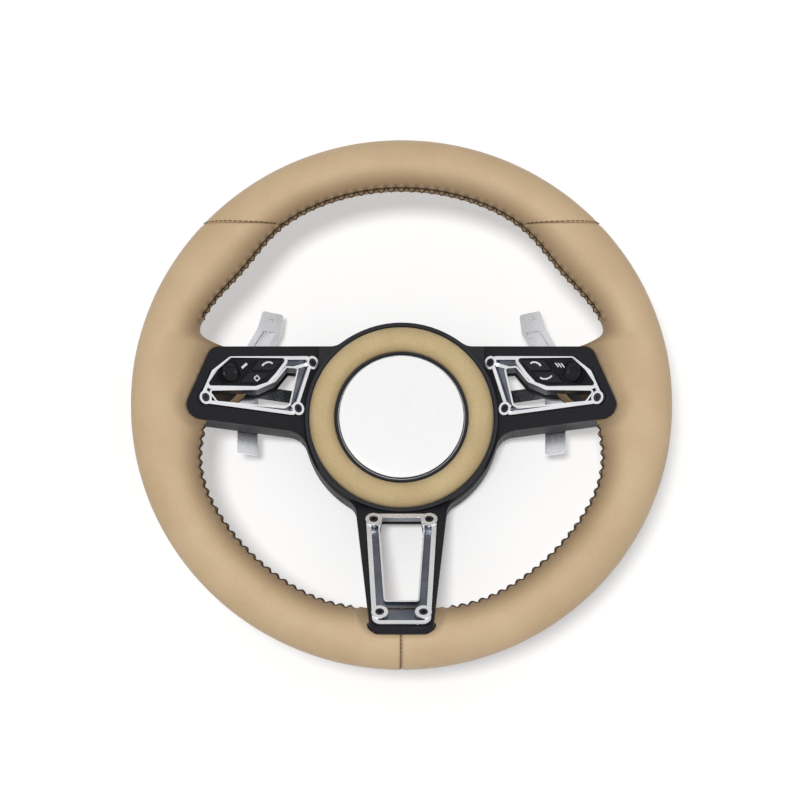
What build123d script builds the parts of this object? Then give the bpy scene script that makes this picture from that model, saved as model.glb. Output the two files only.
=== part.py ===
"""Three-spoke racing wheel with shift paddles, two button pods and a sprung centre cap.

The wheel lies on its back. The origin is the centre of the hub adapter's rear face, +Z is the
turning axis towards the driver, +Y is 12 o'clock and +X is 3 o'clock. All sizes are millimetres.
Heights of the spokes follow one surface, the face: flat over the hub, then rising along each spoke
towards the rim. Most spoke pieces are a plan outline cut between two depths below that face.
"""
from build123d import *
import os
from math import atan, ceil, cos, exp, radians, sin

# ------------------------------------------------------------------ driving sizes
rim_radius = 162.5        # turning axis to the middle of the grip
rim_height = 87.0         # middle of the grip above the adapter's rear face
grip_half_width = 17.5    # half the grip's radial width
grip_half_depth = 15.5    # half the grip's depth along the axis
thumb_swell = 6.5         # extra inner width of the thumb rests
thumb_angle = 50.0        # thumb rests, degrees from 12 o'clock
thumb_spread = 13.0       # degrees
palm_swell = 2.5          # extra inner width of the lower grip
palm_angle = 128.0
palm_spread = 28.0
root_swell = 6.0          # extra inner width at the lower spoke
root_spread = 14.0
flare = 17.0              # extra inner width where the leather runs onto a side spoke
flare_angle = 88.7
flare_spread_above = 9.0
flare_spread_below = 16.1
flare_tilt = 1.0          # degrees that the section leans towards the hub for each millimetre of flare
top_seam_y = 120.5        # upright plane of the two seams that end the top leather
core_radius = 13.0        # foam core of the grip
ring_tube_radius = 6.0    # the armature's rim tube

hub_face_z = 33.0         # front of the cover over the hub
hub_radius = 67.0         # cover outline round the hub
rear_split = hub_radius + 1.5     # the rear cover's spoke shells start here
spoke_start = 56.0        # radius at which the spokes start to rise
face_above_grip = 4.0     # the face stands this much above the grip's middle where it meets the rim
spoke_depth = 24.0        # front face to rear face of the covers, along the axis
parting_depth = 13.0      # front and rear covers meet this far below the face
wall = 3.0                # cover wall
armature_top = 13.5       # depth of the armature's spokes below the face
armature_depth = 5.0

side_end = rim_radius - 16.0      # outermost corner of a side spoke's cover
lower_end = rim_radius - 4.5      # lower end of the lower spoke's cover
side_top = 50.5           # upper edge of a side spoke at the hub
side_top_outer = 39.3     # upper edge at the rim
side_bottom = -11.0
lower_half_width = 31.5   # half width of the lower spoke at the hub
lower_half_width_outer = 20.2
blend_radius = 12.0       # inner corners between hub and spokes

trim_sink = 1.8           # trims sit this deep in the front cover
trim_rise = 2.0           # and their ribs stand this proud of it
trim_floor = -0.9         # height of the recessed floor between the ribs
side_rib = 2.4            # width of a side trim's outer rib
lower_rib = 3.2
pod_bar = 2.3             # width of the bar round the button pod
lip_width = 1.1           # lip round a trim's window
lip_rise = 1.3
skirt_depth = 7.0         # the walls of a trim's window reach this far below the face
boss_rise = 3.0
side_boss_radius = 4.6
lower_boss_radius = 5.5
screw_head_radius = 2.8
screw_head_height = 2.4
shank_radius = 1.45
screw_length = 10.0
hex_radius = 1.4
tower_radius = 3.2

gap = 0.3                 # between pieces of different bodies
fit = 0.05                # radial clearance of a turning fit
knob_radius = 6.0
knob_rise = 4.5
knob_shaft_radius = 1.5
button_travel = 1.0
button_rise = 1.4
button_thickness = 3.8
pod_rise = 0.6            # pod face above the cover's face
pod_height = 8.6
pod_skin = 1.8
well_depth = 1.0          # the sunk area round the knob
groove_depth = 0.6
board_thickness = 1.6

paddle_depth = 30.0       # paddle's front face below the spoke's face
paddle_thickness = 3.0
panel_depth = 0.9
mark_length = 5.0
mark_width = 1.3
mark_depth = 0.5
paddle_pin_x = 65.0
paddle_pin_radius = 1.5
barrel_radius = 3.2
bracket_thickness = 2.0

adapter_radius = 44.0
adapter_thickness = 14.5
bolt_circle = 70.0        # six M5 threaded holes on 70 mm
bolt_hole_radius = 2.5
bolt_count = 6
hub_web_radius = 52.0
hub_ring_outer = 62.5     # padded ring round the centre cap
hub_ring_inner = 45.0
hub_ring_seat = 37.0      # height of the ring's seat
hub_ring_crown = 46.0
lip_radius = 65.5
cap_radius = 42.0
cap_top = 41.5
cap_travel = 1.5
horn_plate_z = 29.0
plate_thickness = 2.0
spring_count = 3

# ------------------------------------------------------------------ the face and the spokes
grip_inner_radius = rim_radius - grip_half_width
spoke_slope = (rim_height + face_above_grip - hub_face_z) / (grip_inner_radius - spoke_start)
slope_angle = atan(spoke_slope)
cosine, sine = cos(slope_angle), sin(slope_angle)
reach = rim_radius + 60.0
floor_z = -60.0
side_plane = Plane(origin=(spoke_start, 0, hub_face_z), x_dir=(cosine, 0, sine), z_dir=(-sine, 0, cosine))
lower_plane = Plane(origin=(0, -spoke_start, hub_face_z), x_dir=(0, -cosine, sine), z_dir=(0, sine, cosine))


def station(radius):
    """Distance up a spoke's sloping face, for a point at this radius in plan."""
    return (radius - spoke_start) / cosine


def face_z(radius):
    return hub_face_z + spoke_slope * max(0.0, radius - spoke_start)


def under(depth):
    """Everything below the face lowered by this depth."""
    flat = hub_face_z - depth
    high = flat + spoke_slope * (reach - spoke_start)
    across = Polygon((-reach, floor_z), (reach, floor_z), (reach, high), (spoke_start, flat),
                     (-spoke_start, flat), (-reach, high), align=None)
    down = Polygon((-reach, floor_z), (reach, floor_z), (reach, flat), (-spoke_start, flat),
                   (-reach, high), align=None)
    return extrude(Plane.XZ * across, reach, both=True) + extrude(Plane.YZ * down, reach, both=True)


def prism(outline):
    """A plan outline as a tall column."""
    return extrude(Plane.XY.offset(floor_z + 5) * outline, 2 * reach, dir=(0, 0, 1))


def band(outline, top, bottom):
    """A plan outline between two depths below the face."""
    return (prism(outline) & under(top)) - under(bottom)


def slab(plane, outline, low, high):
    """A local outline between two heights along a spoke's normal."""
    return extrude(plane.offset(low) * outline, high - low, dir=plane.z_dir)


def peg(plane, u, v, radius, low, high):
    return slab(plane, Pos(u, v) * Circle(radius), low, high)


def flip(piece):
    """The left-hand twin of a right-hand piece."""
    return mirror(piece, about=Plane.YZ)


def loop(*points):
    """A closed outline that faces up, whichever way round its points run."""
    outline = Polygon(*points, align=None)
    return outline if outline.face().normal_at().Z > 0 else Sketch() + [-outline.face()]


def rounded(outline, radius):
    return fillet(outline.vertices(), radius)


def opposite(points):
    """The same corners on the left of the wheel."""
    return [(-x, y) for x, y in points]


def local_loop(*points):
    """A loop given as plan x and y, turned into distances along the sloping face."""
    return loop(*[(station(x), y) for x, y in points])


# ------------------------------------------------------------------ plan outlines
def cover_outline():
    """Hub circle with two side spokes and a lower spoke, blended where they meet."""
    corners = [(0, side_top), (spoke_start, side_top), (side_end - 19.5, side_top_outer),
               (side_end, side_bottom), (0, side_bottom)]
    whole = Circle(hub_radius)
    for points in (corners, opposite(corners)):
        side = loop(*points)
        whole += fillet(side.vertices().sort_by(lambda v: abs(v.X))[-2:], 9)
    lower = loop((-lower_half_width, -spoke_start), (-lower_half_width_outer, -lower_end),
                 (lower_half_width_outer, -lower_end), (lower_half_width, -spoke_start), (0, 0))
    lower = fillet(lower.vertices().sort_by(Axis.Y)[:2], 8.5)
    return offset(offset(whole + lower, blend_radius), -blend_radius)


trim_end = side_end - 10.7    # outermost point of a side trim


def trim_bosses():
    """Plan places of a side trim's three screws."""
    return [(hub_radius - 5.2, 37.6), (hub_radius + 4.2, 4.5), (trim_end - 4.2, 3.3)]


def side_trim_outline():
    hub_side = hub_radius - 4.0
    outline = local_loop((hub_side - 3, 42.6), (trim_end - 20, 33.8), (trim_end - 8.5, 22.5),
                         (trim_end + 0.5, -0.5), (hub_side + 9.5, -0.3))
    outline = fillet(outline.vertices(), 4)
    return outline + [Pos(station(x), y) * Circle(side_boss_radius) for x, y in trim_bosses()]


pod_end = trim_end - 5.8      # outermost corner of a button pod
pod_corner = hub_radius + 12.0  # its innermost corner, at the top


def pod_outline():
    outline = local_loop((pod_corner, 38.0), (pod_end - 15, 32.8), (pod_end - 6.5, 23.2), (pod_end, 12.0),
                         (pod_end - 31, 16.2), (pod_end - 38.6, 20.0), (pod_end - 44, 27.0))
    return rounded(outline, 1.2)


def side_window():
    """Plan outline of the opening below and inboard of the pod."""
    window = loop((hub_radius + 10.3, 32.0), (hub_radius + 3.4, 32.4), (hub_radius + 8.6, 7.0),
                  (hub_radius + 12.0, 4.4), (pod_end - 7.5, 2.3), (pod_end - 2.5, 8.6),
                  (pod_end - 33, 13.6), (pod_end - 45, 21.0))
    return rounded(window, 1.2)


lower_trim_top = hub_radius + 1.5
lower_trim_end = lower_end - 5.9


def lower_bosses():
    """Distance from the axis and side offset of the lower trim's screws."""
    return [(hub_radius + 6.3, 18.6), (hub_radius + 6.3, -18.6),
            (lower_end - 14.2, 14.3), (lower_end - 14.2, -14.3)]


def lower_trim_outline():
    top, end = station(lower_trim_top), station(lower_trim_end)
    outline = rounded(loop((top, -24.0), (top, 24.0), (end, 19.0), (end, -19.0)), 5.4)
    return outline + [Pos(station(r), v) * Circle(lower_boss_radius) for r, v in lower_bosses()]


def lower_window():
    """Plan outline of the lower spoke's opening."""
    top, end = -(hub_radius + 3.0), -(lower_end - 24.7)
    window = loop((-13.5, top), (13.5, top), (14.4, top - 9), (10.6, end), (-10.6, end), (-14.4, top - 9))
    return rounded(window, 1.2)


# ------------------------------------------------------------------ rim
def spoke_flare(angle):
    """Extra inner width at a side spoke, at an angle in degrees from 12 o'clock."""
    spread = flare_spread_above if angle < flare_angle else flare_spread_below
    return flare * exp(-((angle - flare_angle) / spread) ** 2)


def inner_half_width(angle):
    """Grip width inward of its middle, at an angle in degrees from 12 o'clock."""
    thumb = thumb_swell * exp(-((angle - thumb_angle) / thumb_spread) ** 2)
    palm = palm_swell * exp(-((angle - palm_angle) / palm_spread) ** 2)
    root = root_swell * exp(-((angle - 180) / root_spread) ** 2)
    return grip_half_width + thumb + palm + root + spoke_flare(angle)


def grip_section(angle):
    """The grip's oval section; positive angles are on the left of the wheel."""
    turn = radians(90 + angle)
    inward = inner_half_width(abs(angle))
    lean = flare_tilt * spoke_flare(abs(angle))
    plane = Plane(origin=(rim_radius * cos(turn), rim_radius * sin(turn), rim_height),
                  x_dir=(cos(turn), sin(turn), 0), z_dir=(-sin(turn), cos(turn), 0))
    oval = Pos((grip_half_width - inward) / 2, 0) * Ellipse((inward + grip_half_width) / 2, grip_half_depth)
    return plane * Rot(0, 0, -lean) * oval


def grip_loft(start, end):
    steps = ceil((end - start) / 7)
    return loft([grip_section(start + (end - start) * i / steps) for i in range(steps + 1)])


def hoop(radius):
    """A round ring inside the grip."""
    return Pos(0, 0, rim_height) * Torus(rim_radius, radius)


def half_hoop(radius):
    """The right half of that ring, from 12 o'clock to 6 o'clock."""
    start = Plane(origin=(0, -rim_radius, rim_height), x_dir=(0, 0, 1), z_dir=(1, 0, 0))
    return revolve(start * Circle(radius), Axis.Z, 180)


def spoke_sockets():
    """The room that the covers take up in the rim, open towards the driver."""
    return prism(offset(cover_outline(), gap)) - under(spoke_depth + gap)


def armature():
    """One casting: hub web, three spokes and the rim tube, with bosses for the screws."""
    side = [(0, 45), (spoke_start, 45), (side_end - 24, 33), (rim_radius - 2, 22),
            (rim_radius - 2, 2), (side_end - 9, -6), (0, -6.5)]
    lower = loop((0, 0), (26, -spoke_start), (16, -lower_end + 4), (12, -rim_radius + 2),
                 (-12, -rim_radius + 2), (-16, -lower_end + 4), (-26, -spoke_start))
    web = Circle(hub_web_radius) + loop(*side) + loop(*opposite(side)) + lower
    body = band(web, armature_top, armature_top + armature_depth)
    window = prism(offset(side_window(), 1))
    body -= window + flip(window)
    body -= prism(offset(lower_window(), 1))
    body += hoop(ring_tube_radius)
    seat_low = -armature_top * cosine - 1
    seat_high = -wall * cosine
    for x, y in trim_bosses():
        tower = peg(side_plane, station(x), y, tower_radius, seat_low, seat_high)
        hole = peg(side_plane, station(x), y, shank_radius + fit, seat_high - screw_length, seat_high + 1)
        body += tower + flip(tower)
        body -= hole + flip(hole)
    for r, v in lower_bosses():
        body += peg(lower_plane, station(r), v, tower_radius, seat_low, seat_high)
        body -= peg(lower_plane, station(r), v, shank_radius + fit, seat_high - screw_length, seat_high + 1)
    for u, v in board_rests():
        rest = peg(side_plane, u, v, 2.5, seat_low, pod_rise - pod_height - board_thickness)
        body += rest + flip(rest)
    for x, y in rear_screw_places():
        post = Pos(x, y, 0) * Cylinder(tower_radius, 60, align=(Align.CENTER, Align.CENTER, Align.MIN))
        top, bottom = armature_top + 1, spoke_depth - wall
        post = (post & under(top)) - under(bottom)
        body += post
        body -= Pos(x, y, face_z(abs(x) if abs(x) > abs(y) else abs(y)) - bottom) * Cylinder(shank_radius + fit, 14)
    hub_hole = Cylinder(9, 80)
    body -= hub_hole
    for x, y in adapter_bolt_places():
        body -= Pos(x, y, 0) * Cylinder(shank_radius + 1.2, 80)
    return body


def rear_screw_places():
    """Screws that hold the rear cover, in plan."""
    side = [(hub_radius + 20, -6.3), (hub_radius + 18, 38.5)]
    places = [(x * s, y) for x, y in side for s in (1, -1)]
    return places + [(0.0, -(lower_end - 15))]


def adapter_bolt_places():
    """Three bolts between armature and adapter."""
    return [(26 * cos(radians(a)), 26 * sin(radians(a))) for a in (90, 210, 330)]


# ------------------------------------------------------------------ covers
def front_cover(outline):
    shell = band(outline, 0, parting_depth)
    shell -= band(offset(outline, -wall), wall, parting_depth + 5)
    seat = band(Circle(hub_radius - 0.5), 0, wall) - Pos(0, 0, hub_face_z + 20) * Cylinder(lip_radius + gap, 40)
    disc = Pos(0, 0, hub_face_z - wall / 2) * Cylinder(hub_radius - wall / 2, wall)
    shell += seat + disc
    shell -= Pos(0, 0, hub_face_z + 20) * Cylinder(lip_radius + gap, 40)
    shell -= Cylinder(hub_ring_inner + 1, 120)
    side_recess = slab(side_plane, offset(side_trim_outline(), gap), -trim_sink, 12)
    pod_hole = slab(side_plane, offset(pod_outline(), gap), -20, 12)
    for cut in (side_recess, pod_hole, prism(offset(side_window(), lip_width + gap / 2))):
        shell -= cut + flip(cut)
    shell -= slab(lower_plane, offset(lower_trim_outline(), gap), -trim_sink, 12)
    shell -= prism(offset(lower_window(), lip_width + gap / 2))
    return shell - screw_shafts() - hoop(ring_tube_radius + gap)


def screw_shafts():
    """The room that the trims' screws take through the covers."""
    low = -wall * cosine - screw_length
    sides = [peg(side_plane, station(x), y, shank_radius + 0.2, low, 8) for x, y in trim_bosses()]
    lower = [peg(lower_plane, station(r), v, shank_radius + 0.2, low, 8) for r, v in lower_bosses()]
    return Part() + sides + [flip(s) for s in sides] + lower


def rear_shells(outline):
    """The rear cover of hub, right spoke and lower spoke, each a separate moulding."""
    whole = rear_shell(outline)
    far = Box(4 * reach, 4 * reach, 4 * reach)
    past_side = Pos(rear_split + 2 * reach, 0, 0) * far
    past_lower = Pos(0, -rear_split - 2 * reach, 0) * far
    seam = Pos(gap, 0, 0) * past_side, Pos(0, -gap, 0) * past_lower
    hub = whole - past_side - flip(past_side) - past_lower
    return hub, whole & seam[0], whole & seam[1]


def rear_shell(outline):
    shell = band(outline, parting_depth, spoke_depth)
    shell -= band(offset(outline, -wall), parting_depth - 5, spoke_depth - wall)
    shell -= Cylinder(adapter_radius + 0.5, 200)
    window = prism(side_window())
    shell -= window + flip(window)
    shell -= prism(lower_window())
    for x, y in rear_screw_places():
        shell -= Pos(x, y, 0) * Cylinder(shank_radius + 0.2, 200)
    return shell - screw_shafts() - hoop(ring_tube_radius + gap)


# ------------------------------------------------------------------ trims and screws
def ribbed_plate(plane, outline, rib, window):
    """A recessed plate with a rib round its edge, and a lip and skirt round its window."""
    middle = outline.center()
    span = Pos(middle.X, middle.Y) * Rectangle(2 * reach, 2 * reach)
    lip = prism(offset(window, lip_width)) & slab(plane, span, -skirt_depth, lip_rise)
    plate = slab(plane, outline, -trim_sink, trim_floor)
    plate += slab(plane, outline - offset(outline, -rib), trim_floor - 0.2, trim_rise)
    return plate + lip


def side_trim():
    outline = side_trim_outline()
    frame = ribbed_plate(side_plane, outline, side_rib, side_window())
    bar = offset(pod_outline(), pod_bar + gap) & outline
    frame += slab(side_plane, bar, -trim_sink, trim_rise)
    frame += slab(side_plane, corner_web(), -trim_sink, lip_rise)
    frame -= slab(side_plane, offset(pod_outline(), gap), -20, 20)
    frame -= prism(side_window())
    for x, y in trim_bosses():
        frame -= peg(side_plane, station(x), y, tower_radius + gap, -skirt_depth - 5, -trim_sink)
        frame += peg(side_plane, station(x), y, side_boss_radius, -trim_sink, boss_rise)
        frame -= screw_room(side_plane, station(x), y)
    return frame


def corner_web():
    """A diagonal web from the innermost screw to the corner of the window."""
    x, y = trim_bosses()[0]
    return local_loop((x, y - 1.2), (x, y + 1.2), (x + 12, y - 4.2), (x + 12, y - 6.6))


def lower_trim():
    frame = ribbed_plate(lower_plane, lower_trim_outline(), lower_rib, lower_window())
    frame -= prism(lower_window())
    for r, v in lower_bosses():
        frame += peg(lower_plane, station(r), v, lower_boss_radius, -trim_sink, boss_rise)
    for r, v in lower_bosses():
        frame -= screw_room(lower_plane, station(r), v)
    return frame


def screw_room(plane, u, v):
    """Counterbore and hole for a socket screw in a trim boss."""
    seat = boss_rise - screw_head_height
    return (peg(plane, u, v, screw_head_radius + 0.15, seat, boss_rise + 5)
            + peg(plane, u, v, shank_radius + 0.2, -8, seat))


def socket_screw(plane, u, v):
    seat = boss_rise - screw_head_height
    hexagon = Pos(u, v) * RegularPolygon(hex_radius, 6)
    return (peg(plane, u, v, screw_head_radius, seat, boss_rise)
            + peg(plane, u, v, shank_radius, -wall * cosine - screw_length + 1, seat)
            - slab(plane, hexagon, boss_rise - 1.5, boss_rise + 1))


def side_screws():
    return [socket_screw(side_plane, station(x), y) for x, y in trim_bosses()]


def lower_screws():
    return [socket_screw(lower_plane, station(r), v) for r, v in lower_bosses()]


def rear_screws():
    """Button-head screws up through the rear cover into the armature."""
    screws = []
    for x, y in rear_screw_places():
        seat = face_z(max(abs(x), abs(y))) - spoke_depth - spoke_slope * tower_radius
        head = Pos(x, y, seat - 1) * Cylinder(2.6, 2)
        shank = Pos(x, y, seat + 5) * Cylinder(shank_radius, 10)
        screws.append(head + shank)
    return screws


# ------------------------------------------------------------------ button pods
def upper_button_outline():
    return rounded(local_loop((pod_end - 33.5, 34.4), (pod_corner + 2.0, 36.6), (pod_end - 42.5, 28.6),
                              (pod_end - 28.5, 26.6)), 0.6)


def lower_button_outline():
    return rounded(local_loop((pod_end - 27, 24.9), (pod_end - 40.6, 26.9), (pod_end - 36.8, 22.2),
                              (pod_end - 30.6, 18.4), (pod_end - 21, 17.0)), 0.6)


def knob_well():
    """Plan outline of the sunk area round the knob."""
    return rounded(local_loop((pod_end - 18.6, 31.6), (pod_end - 15.8, 31.2), (pod_end - 8.0, 22.4),
                              (pod_end - 3.4, 13.8), (pod_end - 17.6, 15.6), (pod_end - 22.2, 22.4)), 0.8)


def divider(shift):
    """A slanted groove between the knob's side of the pod and the buttons."""
    top, bottom = pod_end - 32.2 + shift, pod_end - 19.6 + shift
    return local_loop((top, 33.6), (top + 0.6, 33.6), (bottom + 0.6, 16.6), (bottom, 16.6))


def knob_place():
    return station(pod_end - 13.8), 22.3


def board_rests():
    """Where the armature carries the pod's circuit board."""
    return [(station(pod_end - 38), 29.0), (station(pod_end - 9), 18.0)]


def pod_housing():
    u, v = knob_place()
    low = pod_rise - pod_height
    body = slab(side_plane, pod_outline(), low, pod_rise)
    body -= slab(side_plane, offset(pod_outline(), -1.4), low - 1, pod_rise - pod_skin)
    body -= slab(side_plane, offset(upper_button_outline(), gap), -20, 20)
    body -= slab(side_plane, offset(lower_button_outline(), gap), -20, 20)
    body -= slab(side_plane, knob_well(), pod_rise - well_depth, pod_rise + 1)
    for shift in (0, 2.4):
        body -= slab(side_plane, divider(shift), pod_rise - groove_depth, pod_rise + 1)
    collar = peg(side_plane, u, v, knob_radius + 1.4, pod_rise - pod_skin, pod_rise + 0.2)
    collar &= slab(side_plane, pod_outline(), low, pod_rise + 1)
    return body + collar - peg(side_plane, u, v, knob_radius + gap, -20, 20)


def button(outline):
    return slab(side_plane, outline, button_rise - button_thickness, button_rise)


def knob():
    u, v = knob_place()
    skirt = pod_rise - pod_skin - 0.2
    body = peg(side_plane, u, v, knob_radius, skirt, knob_rise)
    for i in range(8):
        notch = Pos(u, v) * Rot(0, 0, 45 * i) * Pos(knob_radius, 0) * Circle(0.55)
        body -= slab(side_plane, notch, 1.6, knob_rise + 1)
    dish = peg(side_plane, u, v, knob_radius - 1.6, knob_rise - 0.6, knob_rise + 1)
    return body - dish + peg(side_plane, u, v, knob_shaft_radius, skirt - 4.5, skirt)


def encoder():
    u, v = knob_place()
    low = pod_rise - pod_height
    box = slab(side_plane, Pos(u, v) * Rectangle(8.6, 8.6), low, low + 5.2)
    return box - peg(side_plane, u, v, knob_shaft_radius + fit, low + 0.5, low + 6)


def pod_board():
    top = pod_rise - pod_height
    return slab(side_plane, offset(pod_outline(), -1.2), top - board_thickness, top)


def pod_switches():
    """A tact switch under each button."""
    low = pod_rise - pod_height
    high = button_rise - button_thickness - button_travel - gap
    switches = []
    for outline in (upper_button_outline(), lower_button_outline()):
        middle = outline.center()
        body = slab(side_plane, Pos(middle.X, middle.Y) * Rectangle(6, 6), low, high - 0.8)
        switches.append(body + peg(side_plane, middle.X, middle.Y, 1.6, high - 0.8, high))
    return switches


# ------------------------------------------------------------------ paddles
blade_x = pod_end - 26.0      # middle of the blade behind the spoke


def paddle_outline():
    """Upper finger lobe, blade behind the spoke, lower finger lobe, and the arm to the pin."""
    blade = loop((blade_x - 23.3, 75.8), (blade_x - 9.3, 76.6), (blade_x - 6.0, 64), (blade_x + 2.0, 48),
                 (blade_x + 7.0, 26), (blade_x + 6.8, -24.5), (blade_x - 6.6, -24.5), (blade_x - 6.6, 16),
                 (blade_x - 13, 46), (blade_x - 21.5, 62))
    blade = rounded(blade, 1.8)
    arm = loop((paddle_pin_x, 14.5), (paddle_pin_x, 23.5), (blade_x, 23.5), (blade_x, 14.5))
    return blade + arm


def pin_z():
    return face_z(paddle_pin_x) - paddle_depth - paddle_thickness / 2


def along_y(x, z, radius, low, high):
    return Pos(x, (low + high) / 2, z) * Rot(90, 0, 0) * Cylinder(radius, high - low)


def paddle():
    body = band(paddle_outline(), paddle_depth, paddle_depth + paddle_thickness)
    body -= band(paddle_panel(), 0, paddle_depth + panel_depth)
    body -= band(bar(mark_length, mark_width), 0, paddle_depth + mark_depth)
    body += along_y(paddle_pin_x, pin_z(), barrel_radius, 14.5, 23.5)
    return body - along_y(paddle_pin_x, pin_z(), paddle_pin_radius + fit, 0, 40)


def plus_cut():
    """The upright bar that turns the engraved mark into a plus."""
    return band(bar(mark_width, mark_length), 0, paddle_depth + mark_depth)


def bar(across, up):
    """A bar of the mark on the upper finger lobe."""
    x, y = blade_x - 15.0, 70.8
    return loop((x - across / 2, y - up / 2), (x + across / 2, y - up / 2),
                (x + across / 2, y + up / 2), (x - across / 2, y + up / 2))


def paddle_panel():
    """A shallow panel below the mark."""
    return rounded(loop((blade_x - 18.6, 62.5), (blade_x - 10.0, 62.5), (blade_x - 3.2, 50.0),
                        (blade_x - 12.6, 50.0)), 0.8)


def paddle_pin():
    return along_y(paddle_pin_x, pin_z(), paddle_pin_radius, 8.0, 30.0)


def paddle_bracket():
    """A plate under the rear cover with two ears that hold the pin."""
    span = (paddle_pin_x - 4, paddle_pin_x + 4)
    plate = loop((span[0], 8.5), (span[0], 29.5), (span[1], 29.5), (span[1], 8.5))
    body = band(plate, spoke_depth, spoke_depth + bracket_thickness)
    for low in (8.5, 27.0):
        ear = loop((span[0], low), (span[0], low + 2.5), (span[1], low + 2.5), (span[1], low))
        body += band(ear, spoke_depth, paddle_depth + paddle_thickness + 2.0)
    return body - along_y(paddle_pin_x, pin_z(), paddle_pin_radius, 0, 40)


def paddle_spring():
    """Torsion coil round the pin, between an ear and the paddle's barrel."""
    wire = 0.35
    coil_radius = paddle_pin_radius + wire + 0.2
    path = Pos(paddle_pin_x, 26.6, pin_z()) * Rot(90, 0, 0) * Helix(0.8, 2.4, coil_radius)
    return sweep(Plane(path @ 0, z_dir=path % 0) * Circle(wire), path=path)


def paddle_switch():
    """Flat switch under the rear cover, pressed by the blade at the end of its pull."""
    x, y = blade_x - 5, 39.0
    body = loop((x - 3, y - 3), (x - 3, y + 3), (x + 3, y + 3), (x + 3, y - 3))
    nub = loop((x - 1, y - 1), (x - 1, y + 1), (x + 1, y + 1), (x + 1, y - 1))
    return band(body, spoke_depth, spoke_depth + 1.5) + band(nub, spoke_depth + 1, spoke_depth + 2.1)


# ------------------------------------------------------------------ hub
def disc(radius, low, high):
    return Pos(0, 0, (low + high) / 2) * Cylinder(radius, high - low)


def tube(outer, inner, low, high):
    return disc(outer, low, high) - disc(inner, low - 1, high + 1)


def hub_adapter():
    """Rear plate with the standard six-bolt circle for a wheel base."""
    body = disc(adapter_radius, 0, adapter_thickness) - disc(9, -1, adapter_thickness + 1)
    for i in range(bolt_count):
        a = radians(360 / bolt_count * i)
        body -= Pos(bolt_circle / 2 * cos(a), bolt_circle / 2 * sin(a), 0) * Cylinder(bolt_hole_radius, 24)
    for x, y in adapter_bolt_places():
        body -= Pos(x, y, adapter_thickness) * Cylinder(shank_radius + 1.05, 22)
    return body


def adapter_bolts():
    """M5 bolts from the front through the hub web into the adapter."""
    web_top = hub_face_z - armature_top
    bolts = []
    for x, y in adapter_bolt_places():
        head = Pos(x, y, web_top + 1.5) * Cylinder(4.2, 3)
        bolts.append(head + Pos(x, y, web_top - 6) * Cylinder(shank_radius + 1, 12)
                     - Pos(x, y, web_top + 2.5) * extrude(RegularPolygon(2.3, 6), 3))
    return bolts


def hub_ring_base():
    """Black carrier of the padded ring, with the thin lip round it and the cap's guide inside."""
    base = tube(lip_radius, hub_ring_inner - 1.6, hub_face_z, hub_ring_seat)
    lip = tube(lip_radius, hub_ring_outer + 0.2, hub_ring_seat, hub_ring_seat + 3)
    guide = tube(hub_ring_inner, hub_ring_inner - 1.6, horn_plate_z - 2, hub_ring_seat + 3)
    ledge = tube(hub_ring_inner, hub_ring_inner - 6, horn_plate_z - 2, horn_plate_z)
    return base + lip + guide + ledge


def hub_ring():
    """Domed leather pad."""
    profile = make_face(Polyline((hub_ring_inner + 0.1, hub_ring_seat), (hub_ring_inner + 0.1, hub_ring_seat + 4),)
                        + Spline((hub_ring_inner + 0.1, hub_ring_seat + 4),
                                 (hub_ring_inner + 6, hub_ring_crown - 0.6), (hub_ring_inner + 10, hub_ring_crown),
                                 (hub_ring_outer - 2, hub_ring_seat + 5.5), (hub_ring_outer, hub_ring_seat + 1.5))
                        + Polyline((hub_ring_outer, hub_ring_seat + 1.5), (hub_ring_outer, hub_ring_seat),
                                   (hub_ring_inner + 0.1, hub_ring_seat)))
    return revolve(Plane.XZ * profile, Axis.Z)


def knurled_ring():
    """Metal ring in the groove between the cap and its guide."""
    ring = tube(hub_ring_inner - 1.6, cap_radius + gap, hub_ring_seat - 3, hub_ring_seat + 1)
    return ring + tube(hub_ring_inner - 1.6, cap_radius - 2.5, hub_ring_seat - 5.5, hub_ring_seat - 4.5) \
        + tube(hub_ring_inner - 1.6, cap_radius + 0.8, hub_ring_seat - 4.5, hub_ring_seat - 3)


def horn_cap():
    """White centre cap on a skirt, pressed towards the hub."""
    dome = Pos(0, 0, cap_top) * scale(Sphere(cap_radius), (1, 1, 1.2 / cap_radius))
    top = disc(cap_radius, hub_ring_seat + 1.5, cap_top - 1.2)
    skirt = tube(cap_radius - 3.5, cap_radius - 5.5, horn_plate_z + plate_thickness + cap_travel + gap,
                 hub_ring_seat + 1.5)
    lid = Pos(0, 0, -1.2) * (dome - disc(cap_radius + 5, 0, cap_top))
    return top + lid + skirt


def horn_plate():
    plate = disc(hub_ring_inner - 1.9, horn_plate_z, horn_plate_z + plate_thickness)
    for x, y in spring_places():
        plate += Pos(x, y, horn_plate_z + plate_thickness + 1) * Cylinder(1.6, 2)
    return plate


def spring_places():
    return [(28 * cos(radians(30 + 360 / spring_count * i)), 28 * sin(radians(30 + 360 / spring_count * i)))
            for i in range(spring_count)]


def horn_springs():
    """Light coils between the plate and the cap."""
    wire = 0.4
    low = horn_plate_z + plate_thickness + wire
    height = hub_ring_seat + 1.5 - wire - low
    path = Helix(height / 4, height, 2.6)
    coil = sweep(Plane(path @ 0, z_dir=path % 0) * Circle(wire), path=path)
    return [Pos(x, y, low) * coil for x, y in spring_places()]


def horn_contact():
    """Contact switch in the middle of the plate."""
    low = horn_plate_z + plate_thickness
    body = Pos(0, 0, low + 1.5) * Box(8, 8, 3)
    return body + disc(2, low + 3, hub_ring_seat + 1.5 - cap_travel - gap)


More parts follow.
